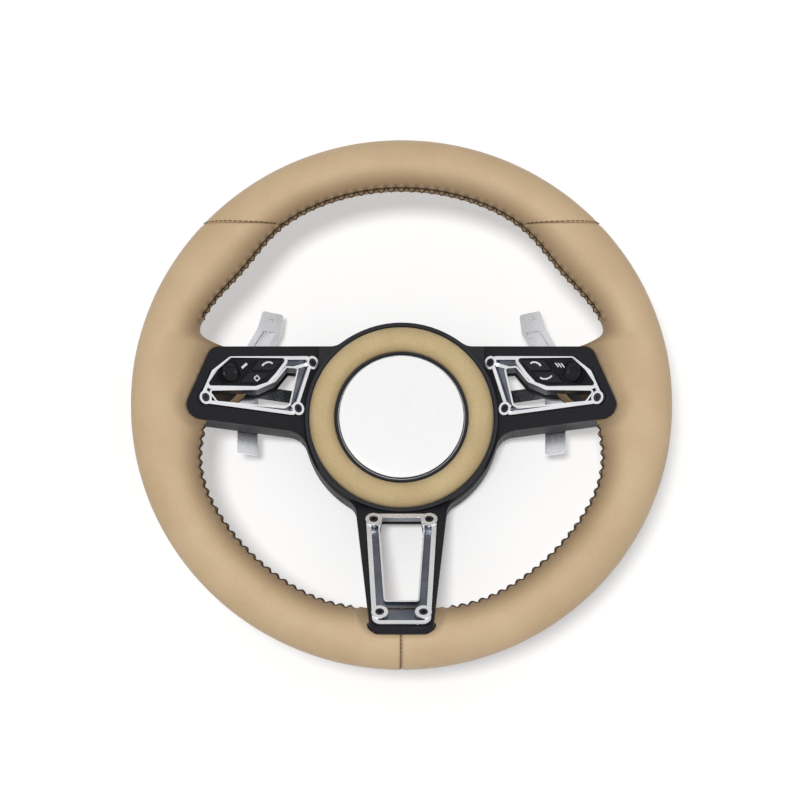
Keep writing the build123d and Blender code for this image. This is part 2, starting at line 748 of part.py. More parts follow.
def controller_board():
    web_top = hub_face_z - armature_top
    board = Pos(0, 0, web_top + 5.4) * Box(44, 34, 1.6)
    for x in (-11, 11):
        for y in (-13, 13):
            board += Pos(x, y, web_top + 2.3) * Cylinder(2.4, 4.6)
    return board + Pos(0, -4, web_top + 6.9) * Box(14, 12, 1.4)


def connector():
    """Round panel connector in the adapter's bore."""
    body = disc(9 - fit, 1.5, adapter_thickness) - disc(6.5, 0, 9)
    for i in range(5):
        a = radians(72 * i + 90)
        body += Pos(3.4 * cos(a), 3.4 * sin(a), 7) * Cylinder(0.6, 6)
    return body


# ------------------------------------------------------------------ write the pieces
def save(name, piece):
    shape = Compound(children=piece) if isinstance(piece, list) else piece
    export_step(shape, f"parts/{name}.step")


def save_rim(casting):
    sockets = spoke_sockets()
    save("armature", casting)
    save_pair("rim_core", half_hoop(core_radius) - sockets - casting)
    above = Pos(0, top_seam_y + reach, rim_height) * Box(4 * reach, 2 * reach, 2 * reach)
    save("rim_leather_top", (grip_loft(-56, 56) & above) - hoop(core_radius))
    left = grip_loft(28, 180) - above - hoop(core_radius) - sockets - casting
    save("rim_leather_left", left)
    save("rim_leather_right", flip(left))


def save_pair(name, right):
    """Write a right-hand piece, or a list of them, and its left-hand twin."""
    save(f"right_{name}", right)
    save(f"left_{name}", [flip(p) for p in right] if isinstance(right, list) else flip(right))


def main():
    os.makedirs("parts", exist_ok=True)
    outline = cover_outline()
    casting = armature()
    save_rim(casting)
    save("front_cover", front_cover(outline) - casting)
    hub_shell, side_shell, lower_shell = [shell - casting for shell in rear_shells(outline)]
    save("rear_hub_cover", hub_shell)
    save("rear_lower_cover", lower_shell)
    save_pair("rear_spoke_cover", side_shell)
    save("lower_trim", lower_trim())
    save("lower_trim_screws", lower_screws())
    save("rear_cover_screws", rear_screws())
    save_pair("trim", side_trim())
    save_pair("trim_screws", side_screws())
    save_pair("pod_housing", pod_housing())
    save_pair("upper_button", button(upper_button_outline()))
    save_pair("lower_button", button(lower_button_outline()))
    save_pair("knob", knob())
    save_pair("encoder", encoder())
    save_pair("pod_board", pod_board())
    save_pair("pod_switches", pod_switches())
    save("left_paddle", flip(paddle()))
    save("right_paddle", paddle() - plus_cut())
    save_pair("paddle_pin", paddle_pin())
    save_pair("paddle_bracket", paddle_bracket())
    save_pair("paddle_spring", paddle_spring())
    save_pair("paddle_switch", paddle_switch())
    save("hub_adapter", hub_adapter())
    save("adapter_bolts", adapter_bolts())
    save("hub_ring_base", hub_ring_base())
    save("hub_ring", hub_ring())
    save("knurled_ring", knurled_ring())
    save("horn_cap", horn_cap())
    save("horn_plate", horn_plate())
    save("horn_springs", horn_springs())
    save("horn_contact", horn_contact())
    save("controller_board", controller_board())
    save("connector", connector())


main()
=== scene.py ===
"""Looks of the racing wheel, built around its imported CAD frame.

Shapes are worked out in millimetres and become metres where a mesh is made. The wheel lies on its
back: +Z is its turning axis towards the driver, +Y is 12 o'clock and +X is 3 o'clock.
"""
from math import acos, cos, degrees, exp, hypot, log, pi, radians, sin, sqrt

import bpy
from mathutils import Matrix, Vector


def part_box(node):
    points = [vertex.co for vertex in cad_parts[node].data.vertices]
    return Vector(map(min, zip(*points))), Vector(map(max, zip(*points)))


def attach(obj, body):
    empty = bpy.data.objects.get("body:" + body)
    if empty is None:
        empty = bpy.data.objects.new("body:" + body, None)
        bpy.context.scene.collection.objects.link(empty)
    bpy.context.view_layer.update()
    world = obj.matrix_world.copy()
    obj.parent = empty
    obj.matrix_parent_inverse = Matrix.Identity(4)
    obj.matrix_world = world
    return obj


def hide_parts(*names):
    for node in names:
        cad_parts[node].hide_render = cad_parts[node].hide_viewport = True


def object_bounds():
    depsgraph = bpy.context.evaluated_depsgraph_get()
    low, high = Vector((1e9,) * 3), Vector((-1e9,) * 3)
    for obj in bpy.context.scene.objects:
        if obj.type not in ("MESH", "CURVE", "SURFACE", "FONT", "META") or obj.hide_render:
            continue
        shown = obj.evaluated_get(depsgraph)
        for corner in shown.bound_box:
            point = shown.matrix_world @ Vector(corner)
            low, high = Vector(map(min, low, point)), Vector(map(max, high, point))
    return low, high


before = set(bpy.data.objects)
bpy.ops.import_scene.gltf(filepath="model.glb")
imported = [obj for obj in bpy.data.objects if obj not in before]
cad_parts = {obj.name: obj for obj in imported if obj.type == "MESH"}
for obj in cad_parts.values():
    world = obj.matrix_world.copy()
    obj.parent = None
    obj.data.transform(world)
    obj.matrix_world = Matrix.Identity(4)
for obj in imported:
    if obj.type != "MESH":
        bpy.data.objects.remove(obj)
cad_low, cad_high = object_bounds()
MM = 0.001

# ------------------------------------------------------------------ sizes that follow the frame
OUTER_RADIUS = cad_high.x / MM            # outside of the grip
GRIP_WIDTH = 17.5                         # half widths of the plain grip
GRIP_DEPTH = 15.5
RIM_RADIUS = OUTER_RADIUS - GRIP_WIDTH
RIM_HEIGHT = cad_high.z / MM - GRIP_DEPTH
SPOKE_START = 56.0                        # where the spokes begin to rise from the hub's face
LIP_HEIGHT = 7.0                          # of the lip round the hub pad, above the cover
FACE_RISE = 4.0                           # of the spokes' outer ends, above the grip's middle
FACE_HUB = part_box("hub_ring_base")[1].z / MM - LIP_HEIGHT
SLOPE = (RIM_HEIGHT + FACE_RISE - FACE_HUB) / (RIM_RADIUS - GRIP_WIDTH - SPOKE_START)
COSINE = 1 / sqrt(1 + SLOPE * SLOPE)
SINE = SLOPE * COSINE


def face_z(radius):
    """Height of the spokes' front face at this radius in plan."""
    return FACE_HUB + SLOPE * max(0.0, radius - SPOKE_START)


def smooth(value, low, high):
    """0 below low, 1 above high, with a soft turn between them."""
    t = min(1.0, max(0.0, (value - low) / (high - low)))
    return t * t * (3 - 2 * t)


def bump(value, centre, spread):
    return exp(-((value - centre) / spread) ** 2)


# ------------------------------------------------------------------ meshes
def new_piece(name, points, faces, body, material, shade=True):
    """A mesh from points in millimetres, which rides on a body."""
    mesh = bpy.data.meshes.new(name)
    mesh.from_pydata([(x * MM, y * MM, z * MM) for x, y, z in points], [], faces)
    mesh.validate()
    mesh.polygons.foreach_set("use_smooth", [shade] * len(mesh.polygons))
    piece = bpy.data.objects.new(name, mesh)
    bpy.context.scene.collection.objects.link(piece)
    mesh.materials.append(material)
    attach(piece, body)
    return piece


def grid_faces(rows, columns, close_columns=False, first=0):
    """Quads between rows of points; each row has the same number of columns."""
    faces = []
    for i in range(rows - 1):
        for j in range(columns if close_columns else columns - 1):
            k = (j + 1) % columns
            a, b = first + i * columns, first + (i + 1) * columns
            faces.append((a + j, a + k, b + k, b + j))
    return faces


def tube(path, radius, sides=6, first=0):
    """Points and faces of a round thread along a path, with closed ends."""
    points, faces = [], []
    for i, p in enumerate(path):
        ahead = Vector(path[min(i + 1, len(path) - 1)]) - Vector(path[max(i - 1, 0)])
        side = ahead.cross(Vector((0.13, 0.21, 0.97))).normalized()
        up = side.cross(ahead).normalized()
        for k in range(sides):
            turn = 2 * pi * k / sides
            points.append(Vector(p) + (side * cos(turn) + up * sin(turn)) * radius)
    faces = grid_faces(len(path), sides, True, first)
    faces.append(tuple(first + k for k in reversed(range(sides))))
    last = first + (len(path) - 1) * sides
    faces.append(tuple(last + k for k in range(sides)))
    return points, faces


def lathe(profile, steps, wobble=None):
    """Points and faces of a closed profile of (radius, height) turned round the wheel's axis."""
    points = []
    for i in range(steps):
        turn = 2 * pi * i / steps
        for j, (r, z) in enumerate(profile):
            radius = r + (wobble(i, j) if wobble else 0.0)
            points.append((radius * cos(turn), radius * sin(turn), z))
    count = len(profile)
    faces = []
    for i in range(steps):
        a, b = i * count, ((i + 1) % steps) * count
        for j in range(count):
            k = (j + 1) % count
            faces.append((a + j, b + j, b + k, a + k))
    return points, faces


# ------------------------------------------------------------------ materials
class Shader:
    """A Principled material put together node by node."""

    def __init__(self, name, **fixed):
        self.material = bpy.data.materials.new(name)
        self.material.use_nodes = True
        self.tree = self.material.node_tree
        self.surface = self.tree.nodes["Principled BSDF"]
        self.place = self.add("ShaderNodeTexCoord").outputs["Object"]
        for socket, value in fixed.items():
            self.surface.inputs[socket.replace("_", " ")].default_value = value

    def add(self, kind, settings=None, **inputs):
        node = self.tree.nodes.new(kind)
        for name, value in (settings or {}).items():
            setattr(node, name, value)
        for name, value in inputs.items():
            self.feed(node.inputs[name.replace("_", " ")], value)
        return node

    def feed(self, socket, value):
        if isinstance(value, bpy.types.NodeSocket):
            self.tree.links.new(value, socket)
        else:
            socket.default_value = value

    def noise(self, scale, detail=3.0, rough=0.5):
        node = self.add("ShaderNodeTexNoise", Vector=self.place, Scale=scale, Detail=detail,
                        Roughness=rough)
        return node.outputs["Fac"]

    def cells(self, scale, feature="DISTANCE_TO_EDGE"):
        node = self.add("ShaderNodeTexVoronoi", {"feature": feature}, Vector=self.place, Scale=scale)
        return node.outputs["Distance"]

    def maths(self, operation, a, b=0.0, c=0.0):
        node = self.add("ShaderNodeMath", {"operation": operation})
        for socket, value in zip(node.inputs, (a, b, c)):
            self.feed(socket, value)
        return node.outputs[0]

    def spread(self, value, low, high, to_low=0.0, to_high=1.0):
        """value, from low to high, mapped onto another range and clamped."""
        node = self.add("ShaderNodeMapRange", Value=value, From_Min=low, From_Max=high)
        self.feed(node.inputs["To Min"], to_low)
        self.feed(node.inputs["To Max"], to_high)
        return node.outputs[0]

    def mix(self, factor, a, b):
        node = self.add("ShaderNodeMix", {"data_type": "RGBA"})
        for index, value in ((0, factor), (6, a), (7, b)):
            self.feed(node.inputs[index], value)
        return node.outputs[2]

    def relief(self, height, distance, strength=1.0, under=None):
        node = self.add("ShaderNodeBump", Height=height, Distance=distance, Strength=strength)
        if under is not None:
            self.feed(node.inputs["Normal"], under)
        return node.outputs[0]

    def finish(self, colour=None, roughness=None, normal=None, metallic=None):
        for name, value in (("Base Color", colour), ("Roughness", roughness),
                            ("Normal", normal), ("Metallic", metallic)):
            if value is not None:
                self.feed(self.surface.inputs[name], value)
        return self.material


def srgb(red, green, blue):
    """A colour written as it looks on a screen, 0 to 255, made linear."""
    parts = [c / 255 for c in (red, green, blue)]
    return tuple(c / 12.92 if c < 0.04045 else ((c + 0.055) / 1.055) ** 2.4 for c in parts) + (1.0,)


def tan_leather():
    """Smooth tan hide: fine pores and soft creases, painted shade in its seams and towards its inner edge,
    painted black shade under the covers.
    """
    s = Shader("tan_leather", Specular_IOR_Level=0.42, Sheen_Weight=0.08, Sheen_Roughness=0.5)
    painted_shade = s.add("ShaderNodeAttribute", {"attribute_name": "painted_shade"}).outputs["Fac"]
    patches = s.spread(s.noise(28.0, 4.0), 0.3, 0.7)
    hide = s.mix(patches, srgb(208, 181, 144), srgb(200, 172, 134))
    pores = s.cells(900.0)
    fine = s.noise(2600.0, 2.0)
    hide = s.mix(s.spread(pores, 0.0, 0.09, 0.22, 0.0), hide, srgb(150, 122, 84))
    # painted shade from the point attribute: darker in seams, between puckers, at ends and inward; black
    # under covers
    hide = s.mix(s.maths("MULTIPLY", painted_shade, 0.72), hide, srgb(106, 79, 48))
    hide = s.mix(s.spread(painted_shade, 1.1, 1.7), hide, srgb(18, 17, 16))
    normal = s.relief(s.spread(pores, 0.0, 0.12), 0.00009, 0.55)
    normal = s.relief(fine, 0.00004, 0.5, normal)
    normal = s.relief(s.noise(160.0, 3.0), 0.0003, 0.35, normal)
    rough = s.spread(s.noise(90.0), 0.3, 0.7, 0.5, 0.62)
    return s.finish(hide, rough, normal)


def pad_leather():
    """The hub pad's slightly greener, coarser grained hide."""
    s = Shader("pad_leather", Specular_IOR_Level=0.4, Sheen_Weight=0.1, Sheen_Roughness=0.5)
    hide = s.mix(s.spread(s.noise(35.0, 4.0), 0.3, 0.7), srgb(206, 184, 140), srgb(194, 170, 125))
    pores = s.cells(620.0)
    hide = s.mix(s.spread(pores, 0.0, 0.1, 0.3, 0.0), hide, srgb(146, 120, 76))
    normal = s.relief(s.spread(pores, 0.0, 0.14), 0.00014, 0.7)
    normal = s.relief(s.noise(2000.0, 2.0), 0.00005, 0.5, normal)
    return s.finish(hide, s.spread(s.noise(80.0), 0.3, 0.7, 0.55, 0.68), normal)


def thread():
    """Waxed dark brown thread with a fine twist."""
    s = Shader("brown_thread", Specular_IOR_Level=0.35)
    colour = s.mix(s.spread(s.noise(700.0), 0.35, 0.65), srgb(48, 36, 22), srgb(78, 59, 38))
    twist = s.noise(3500.0, 1.0)
    return s.finish(colour, s.spread(twist, 0.2, 0.8, 0.6, 0.8), s.relief(twist, 0.0001, 0.8))


def moulded(name, face, worn, grain, roughness, depth=0.00006):
    """Moulded plastic: a fine spark-eroded texture, with the raised grains a little lighter."""
    s = Shader(name, Specular_IOR_Level=0.16)
    grains = s.noise(grain, 2.0, 0.6)
    patches = s.noise(40.0, 3.0)
    colour = s.mix(s.spread(grains, 0.42, 0.62), face, worn)
    rough = s.spread(patches, 0.3, 0.7, roughness - 0.05, roughness + 0.06)
    return s.finish(colour, rough, s.relief(grains, depth, 0.6))


def satin_metal(name, colour, dark, roughness, lines=0.0):
    """Plain metal with faint clouding, fine scratches and, where lines is set, a brushed grain."""
    s = Shader(name, Metallic=1.0)
    clouds = s.noise(60.0, 4.0)
    tint = s.mix(s.spread(clouds, 0.3, 0.7), colour, dark)
    stretched = s.add("ShaderNodeMapping", Vector=s.place)
    stretched.inputs["Scale"].default_value = (1.0, 14.0, 1.0)
    scratch = s.add("ShaderNodeTexNoise", Vector=stretched.outputs[0], Scale=420.0, Detail=3.0)
    scratch = scratch.outputs["Fac"]
    rough = s.spread(scratch, 0.3, 0.7, roughness - 0.04, roughness + 0.07 + lines)
    return s.finish(tint, rough, s.relief(scratch, 0.00001, 0.08))


def trim_metal(name, along):
    """Polished ribs over a darker satin floor; the height above the spoke's face tells them apart."""
    s = Shader(name, Metallic=1.0)
    parts = s.add("ShaderNodeSeparateXYZ", Vector=s.place).outputs
    out = s.maths("ABSOLUTE", parts[along])
    rise = s.maths("MULTIPLY", s.maths("SUBTRACT", out, SPOKE_START * MM), -SINE)
    height = s.maths("MULTIPLY_ADD", s.maths("SUBTRACT", parts[2], FACE_HUB * MM), COSINE, rise)
    raised = s.spread(height, 0.3 * MM, 0.9 * MM)
    clouds = s.spread(s.noise(70.0, 4.0), 0.3, 0.7)
    bright = s.mix(clouds, srgb(255, 255, 255), srgb(246, 247, 250))
    satin = s.mix(clouds, srgb(126, 130, 140), srgb(98, 101, 110))
    scratch = s.noise(900.0, 3.0)
    rough = s.mix(raised, (0.36, 0.36, 0.36, 1), (0.22, 0.22, 0.22, 1))
    rough = s.maths("MULTIPLY_ADD", s.spread(scratch, 0.3, 0.7), 0.08, rough)
    return s.finish(s.mix(raised, satin, bright), rough, s.relief(scratch, 0.00001, 0.05))


def circuit_mask():
    """Green solder mask with paler tracks."""
    s = Shader("solder_mask", Specular_IOR_Level=0.6)
    tracks = s.cells(420.0)
    colour = s.mix(s.spread(tracks, 0.0, 0.06, 1.0, 0.0), srgb(20, 78, 42), srgb(60, 120, 66))
    return s.finish(colour, s.spread(s.noise(200.0), 0.3, 0.7, 0.3, 0.45), s.relief(tracks, 0.00004, 0.3))


# ------------------------------------------------------------------ studio
ELEVATION = radians(77.3)
DISTANCE = 2.5             # metres from the camera to what it aims at
LENS = 169.6
AIM = (-1.0, 0.8, RIM_HEIGHT)
KEY_DIRECTION = (0.09, 0.11, -1.0)
KEY_STRENGTH = 1.75
KEY_SPREAD = radians(9.0)
ROOM_LEVEL = 0.52          # the world's strength for diffuse light
MIRROR_LEVEL = 1.0         # and for what polished metal shows of it
ROOM_TONES = ((0.14, 0.16), (0.26, 0.85), (0.6, 0.8), (0.8, 0.92))   # height in the room, grey
FLOOR_SIZE = 3000.0
FLOOR_GAP = 0.2            # below the adapter's rear face
FLOOR_GLOW = 0.27          # lifts the floor to white for the camera


def make_camera():
    data = bpy.data.cameras.new("camera")
    data.sensor_width = 36.0
    data.lens = LENS
    camera = bpy.data.objects.new("camera", data)
    bpy.context.scene.collection.objects.link(camera)
    back = Vector((0.0, -cos(ELEVATION), sin(ELEVATION)))
    camera.location = Vector(AIM) * MM + back * DISTANCE
    camera.rotation_mode = "QUATERNION"
    camera.rotation_quaternion = (-back).to_track_quat("-Z", "Y")
    bpy.context.scene.camera = camera


def white_to_camera(tree, plain, glossy):
    """A strength of 1 for rays that see the backdrop, glossy for reflections, and plain for the rest."""
    path = tree.nodes.new("ShaderNodeLightPath")
    seen = tree.nodes.new("ShaderNodeMath")
    seen.operation = "MAXIMUM"
    tree.links.new(path.outputs["Is Camera Ray"], seen.inputs[0])
    tree.links.new(path.outputs["Is Transmission Ray"], seen.inputs[1])
    level = tree.nodes.new("ShaderNodeMapRange")
    tree.links.new(seen.outputs[0], level.inputs["Value"])
    mirrored = tree.nodes.new("ShaderNodeMapRange")
    tree.links.new(path.outputs["Is Glossy Ray"], mirrored.inputs["Value"])
    mirrored.inputs["To Min"].default_value = plain
    mirrored.inputs["To Max"].default_value = glossy
    tree.links.new(mirrored.outputs[0], level.inputs["To Min"])
    level.inputs["To Max"].default_value = 1.0
    return level.outputs[0]


def make_world():
    """A pale room, dark below the horizon so that polished edges have something to show."""
    world = bpy.data.worlds.new("studio")
    bpy.context.scene.world = world
    world.use_nodes = True
    tree = world.node_tree
    sky = tree.nodes["Background"]
    place = tree.nodes.new("ShaderNodeTexCoord").outputs["Generated"]
    parts = tree.nodes.new("ShaderNodeSeparateXYZ")
    tree.links.new(place, parts.inputs[0])
    ramp = tree.nodes.new("ShaderNodeValToRGB")
    tree.links.new(parts.outputs[2], ramp.inputs[0])
    stops = ramp.color_ramp.elements
    stops[0].position, stops[0].color = 0.0, (0.12, 0.12, 0.13, 1)
    stops[1].position, stops[1].color = 1.0, (0.86, 0.86, 0.87, 1)
    for position, level in ROOM_TONES:
        stop = stops.new(position)
        stop.color = (level, level, level * 1.01, 1)
    tree.links.new(ramp.outputs[0], sky.inputs["Color"])
    tree.links.new(white_to_camera(tree, ROOM_LEVEL, MIRROR_LEVEL), sky.inputs["Strength"])


def make_key():
    """A broad key near the camera, a little to its left and below, which throws the soft shadow."""
    data = bpy.data.lights.new("key", "SUN")
    data.energy = KEY_STRENGTH
    data.angle = KEY_SPREAD
    key = bpy.data.objects.new("key", data)
    bpy.context.scene.collection.objects.link(key)
    key.rotation_mode = "QUATERNION"
    key.rotation_quaternion = Vector(KEY_DIRECTION).to_track_quat("-Z", "Y")


def make_floor():
    """White to the camera, and it keeps the wheel's soft shadow."""
    level = cad_low.z / MM - FLOOR_GAP
    corners = [(x * FLOOR_SIZE, y * FLOOR_SIZE, level) for x, y in ((-1, -1), (1, -1), (1, 1), (-1, 1))]
    s = Shader("floor", Roughness=0.9, Specular_IOR_Level=0.0)
    s.finish(s.mix(s.spread(s.noise(6.0), 0.3, 0.7), (0.80, 0.80, 0.80, 1), (0.79, 0.79, 0.79, 1)))
    path = s.add("ShaderNodeLightPath")
    seen = s.maths("MAXIMUM", path.outputs["Is Camera Ray"], path.outputs["Is Transmission Ray"])
    seen = s.maths("MAXIMUM", seen, path.outputs["Is Glossy Ray"])
    s.surface.inputs["Emission Color"].default_value = (1, 1, 1, 1)
    s.feed(s.surface.inputs["Emission Strength"], s.maths("MULTIPLY", seen, FLOOR_GLOW))
    mesh = bpy.data.meshes.new("floor")
    mesh.from_pydata([(x * MM, y * MM, z * MM) for x, y, z in corners], [], [(0, 1, 2, 3)])
    mesh.materials.append(s.material)
    floor = bpy.data.objects.new("floor", mesh)
    bpy.context.scene.collection.objects.link(floor)


# ------------------------------------------------------------------ grip
THUMB_SWELL, THUMB_ANGLE, THUMB_SPREAD = 6.5, 50.0, 13.0
PALM_SWELL, PALM_ANGLE, PALM_SPREAD = 2.5, 128.0, 28.0
ROOT_SWELL, ROOT_SPREAD = 6.0, 14.0
FLARE, FLARE_ANGLE, FLARE_ABOVE, FLARE_BELOW = 17.0, 88.7, 9.0, 16.1
SEAM_Y = 120.5            # the upper cross seams lie in this upright plane
SEAM_LEAN = radians(13)   # the long seam sits this far forward of the grip's innermost line
STITCHES = 134            # cross stitches that would go once round the rim
STITCH_STEP = 360 / STITCHES
STITCH_HALF = 2.9         # half width of the stitching
STITCH_ENDS = ((1.0, 69.0), (97.5, 169.0))   # angles from 12 o'clock that carry cross stitches
TIP_ANGLE = -5.0          # the top's stitching fades in before 12 o'clock, so there is no gap there
SEAM_PULL, HIDE_PULL = (0.9, 0.8), (0.35, 3.2)   # depth and spread of the dip along the long seam
PUCKER, DIMPLE = (0.75, 1.6), (0.55, 2.4)        # and of what each stitch gathers beside and in it
# spreads of the painted shade in the long seam's groove and between its puckers
SEAM_SHADE, PUCKER_SHADE = 1.5, (0.8, 1.1)
INNER_SHADE = 0.8           # painted shade, darker hide towards the grip's innermost line
WEB = 30.0                # how far the hide reaches in along a side spoke's upper edge
WEB_TOP, WEB_FADE = 39.6, 2.7
WEB_ANGLES = (60, 100)    # from 12 o'clock
WEB_SPAN = (-14, 20)      # heights between which it grows to its full reach
WEB_LEAN = 0.2            # its extra fall towards the hub, over the spoke's slope
COVER_SINK, COVER_ROOM = 1.6, 0.9    # the hide's depth and clearance at a cover's edge
COVER_RISE = 1.3          # slope of the pressed hide outside that edge
TUCK_START, TUCK_SLOPE, TUCK_DEPTH = 0.2, 2.6, 13.0
COVER_SHADE_SPAN = (1.5, 3.5)      # distances inside a cover's outline over which painted black shade comes in
LOWER_ZONE = -100         # the lower cover presses the hide only below this line
LOWER_CLOSER = 0.6        # its hide lies this much closer than at the side covers
THREAD, SEAM_THREAD = 0.4, 0.3       # radii
END_SINK, END_SPREAD = 1.1, 0.55     # a leather's end turns down into its cross seam
# painted shade where a leather's end turns down into its cross seam
END_SHADE, END_SHADE_SPREAD = 0.8, 0.5
SEAM_OFFSET, LOWER_OFFSET = 0.35, 0.28   # degrees from a cross seam to its row of stitches
FINE_REACH, FINE_STEPS, COARSE_STEPS = 8.5, 38, 42
TOP_ROWS, SIDE_ROWS = 260, 460
COVER_CORNERS = ((56.0, 50.5), (127.0, 39.3), (146.5, -11.0), (56.0, -11.0))
COVER_ROUND = 9.0
LOWER_ROUND = 8.5
LOWER_COVER = ((31.5, -56.0), (20.2, -158.0), (-20.2, -158.0), (-31.5, -56.0))


def flare_at(angle):
    return FLARE * bump(angle, FLARE_ANGLE, FLARE_ABOVE if angle < FLARE_ANGLE else FLARE_BELOW)


def inner_width(angle):
    """Grip width inward of its middle, at an angle from 12 o'clock."""
    return (GRIP_WIDTH + THUMB_SWELL * bump(angle, THUMB_ANGLE, THUMB_SPREAD)
            + PALM_SWELL * bump(angle, PALM_ANGLE, PALM_SPREAD)
            + ROOT_SWELL * bump(angle, 180.0, ROOT_SPREAD) + flare_at(angle))


def outside(x, y, corners, round_by):
    """Distance in plan outside a convex outline with rounded corners; negative inside."""
    best, inside = 1e9, True
    for (ax, ay), (bx, by) in zip(corners, corners[1:] + corners[:1]):
        ex, ey = bx - ax, by - ay
        t = min(1.0, max(0.0, ((x - ax) * ex + (y - ay) * ey) / (ex * ex + ey * ey)))
        best = min(best, hypot(x - ax - t * ex, y - ay - t * ey))
        inside = inside and ex * (y - ay) - ey * (x - ax) <= 0
    return (-best if inside else best) - round_by


def shrunk(corners, by):
    """A convex outline moved in by a distance, to be grown back with rounded corners."""
    middle = (sum(x for x, y in corners) / len(corners), sum(y for x, y in corners) / len(corners))
    moved = []
    for i, (x, y) in enumerate(corners):
        (px, py), (nx, ny) = corners[i - 1], corners[(i + 1) % len(corners)]
        a, b = Vector((x - px, y - py)).normalized(), Vector((nx - x, ny - y)).normalized()
        na, nb = Vector((-a.y, a.x)), Vector((-b.y, b.x))
        if na.dot(Vector(middle) - Vector((x, y))) < 0:
            na, nb = -na, -nb
        moved.append((Vector((x, y)) + (na + nb) * by / (1 + na.dot(nb))).to_tuple())
    return moved


SIDE_OUTLINE = shrunk(list(COVER_CORNERS), COVER_ROUND)
LOWER_OUTLINE = shrunk(list(LOWER_COVER), LOWER_ROUND)


def long_seam(turn):
    """Signed distance across the section from the long inner seam, near that seam."""
    return GRIP_DEPTH * 1.01 * (turn - (pi - SEAM_LEAN))


def stitched(angle):
    """1 where cross stitches run, 0 where the leather is smooth over a spoke's root."""
    return max(smooth(angle, low - 1, low + 0.5) * (1 - smooth(angle, high - 0.5, high + 1))
               for low, high in ((TIP_ANGLE, STITCH_ENDS[0][1]), STITCH_ENDS[1]))


def grip_point(angle, turn, sink=0.0):
    """A point of the leather and its painted shade: 0 to 1 into a seam or towards the inner edge, up to 2
    under a cover.

    angle is signed, in degrees from 12 o'clock, positive on the left. turn goes round the section
    in radians, from the outside over the front. sink pulls the point under the surface.
    """
    size = abs(angle)
    inward = inner_width(size)
    wide = (inward + GRIP_WIDTH) / 2
    x, z = (GRIP_WIDTH - inward) / 2 + wide * cos(turn), GRIP_DEPTH * sin(turn)
    normal = Vector((cos(turn) / wide, sin(turn) / GRIP_DEPTH)).normalized()
    across = long_seam(turn)
    on = stitched(size)
    phase = 2 * pi * size / STITCH_STEP
    pull = ridge(across, 0, SEAM_PULL) + ridge(across, 0, HIDE_PULL)
    puckers = ridge(abs(across), STITCH_HALF, PUCKER) + ridge(across, 0, DIMPLE)
    sink = sink + on * (pull - puckers * cos(phase))
    x, z = x - normal.x * sink, z - normal.y * sink
    lean = radians(flare_at(size))
    x, z = x * cos(lean) - z * sin(lean), x * sin(lean) + z * cos(lean)
    away = radians(90 + angle)
    plan_x, plan_y, up = (RIM_RADIUS + x) * cos(away), (RIM_RADIUS + x) * sin(away), RIM_HEIGHT + z
    inner = ((1 - cos(turn)) / 2) ** 3
    if WEB_ANGLES[0] < size < WEB_ANGLES[1]:
        web = WEB * exp(-max(0.0, plan_y - WEB_TOP) / WEB_FADE) * smooth(plan_y, *WEB_SPAN) * inner
        plan_x -= web if plan_x > 0 else -web
        up -= (SLOPE + WEB_LEAN) * web
    far = abs(plan_x)
    # painted black shade on the hide inside a cover's outline
    cover_shade = 0.0
    if sin(turn) > 0:
        gap = outside(far, plan_y, SIDE_OUTLINE, COVER_ROUND)
        cover_shade = smooth(-gap, *COVER_SHADE_SPAN)
        up = under_limit(up, face_z(far) + press(gap))
    if sin(turn) > 0 and plan_y < LOWER_ZONE:
        gap = outside(plan_x, plan_y, LOWER_OUTLINE, LOWER_ROUND)
        cover_shade = max(cover_shade, smooth(-gap, *COVER_SHADE_SPAN))
        up = under_limit(up, face_z(-plan_y) + press(gap + LOWER_CLOSER))
    # painted shade in the long seam's groove, between the puckers beside it, and towards the inner edge
    pucker_shade = ridge(abs(across), STITCH_HALF, PUCKER_SHADE) * (1 - cos(phase)) / 2
    shade_amount = max(on * max(bump(across, 0, SEAM_SHADE), pucker_shade), INNER_SHADE * smooth(-cos(turn), 0.1, 1.0))
    return (plan_x, plan_y, up), shade_amount + cover_shade


def ridge(value, centre, shape):
    height, spread = shape
    return height * bump(value, centre, spread)


def press(gap):
    """Highest the leather may stand over a cover's face, at a distance outside the cover's outline."""
    rise, fall = COVER_RISE * max(0.0, gap - COVER_ROOM), TUCK_SLOPE * max(0.0, TUCK_START - gap)
    return rise - COVER_SINK - min(TUCK_DEPTH, fall)


def under_limit(value, limit, soft=0.8):
    """The smaller of the two, with a soft turn between them."""
    if value < limit - 4 * soft:
        return value
    if value > limit + 4 * soft:
        return limit
    return -soft * 0.5 * log_sum(-value / (soft * 0.5), -limit / (soft * 0.5))


def log_sum(a, b):
    top = max(a, b)
    return top + log(exp(a - top) + exp(b - top))


def seam_angle(radius):
    """Angle from 12 o'clock at which the upright plane of a cross seam meets this radius."""
    return degrees(acos(min(1.0, SEAM_Y / radius)))


def section_turns():
    """Turns round the section: close together over the long seam, wider elsewhere."""
    middle, reach = pi - SEAM_LEAN, FINE_REACH / GRIP_DEPTH
    near = [middle + reach * (2 * i / FINE_STEPS - 1) for i in range(FINE_STEPS + 1)]
    rest = 2 * pi - 2 * reach
    return near + [middle + reach + rest * i / COARSE_STEPS for i in range(1, COARSE_STEPS)]


def lengthwise(count):
    """Shares of a leather's length, closer together at its two ends."""
    ends = (0.0, 0.0012, 0.003, 0.0055, 0.009)
    return list(ends) + [i / count for i in range(5, count - 4)] + [1 - e for e in reversed(ends)]


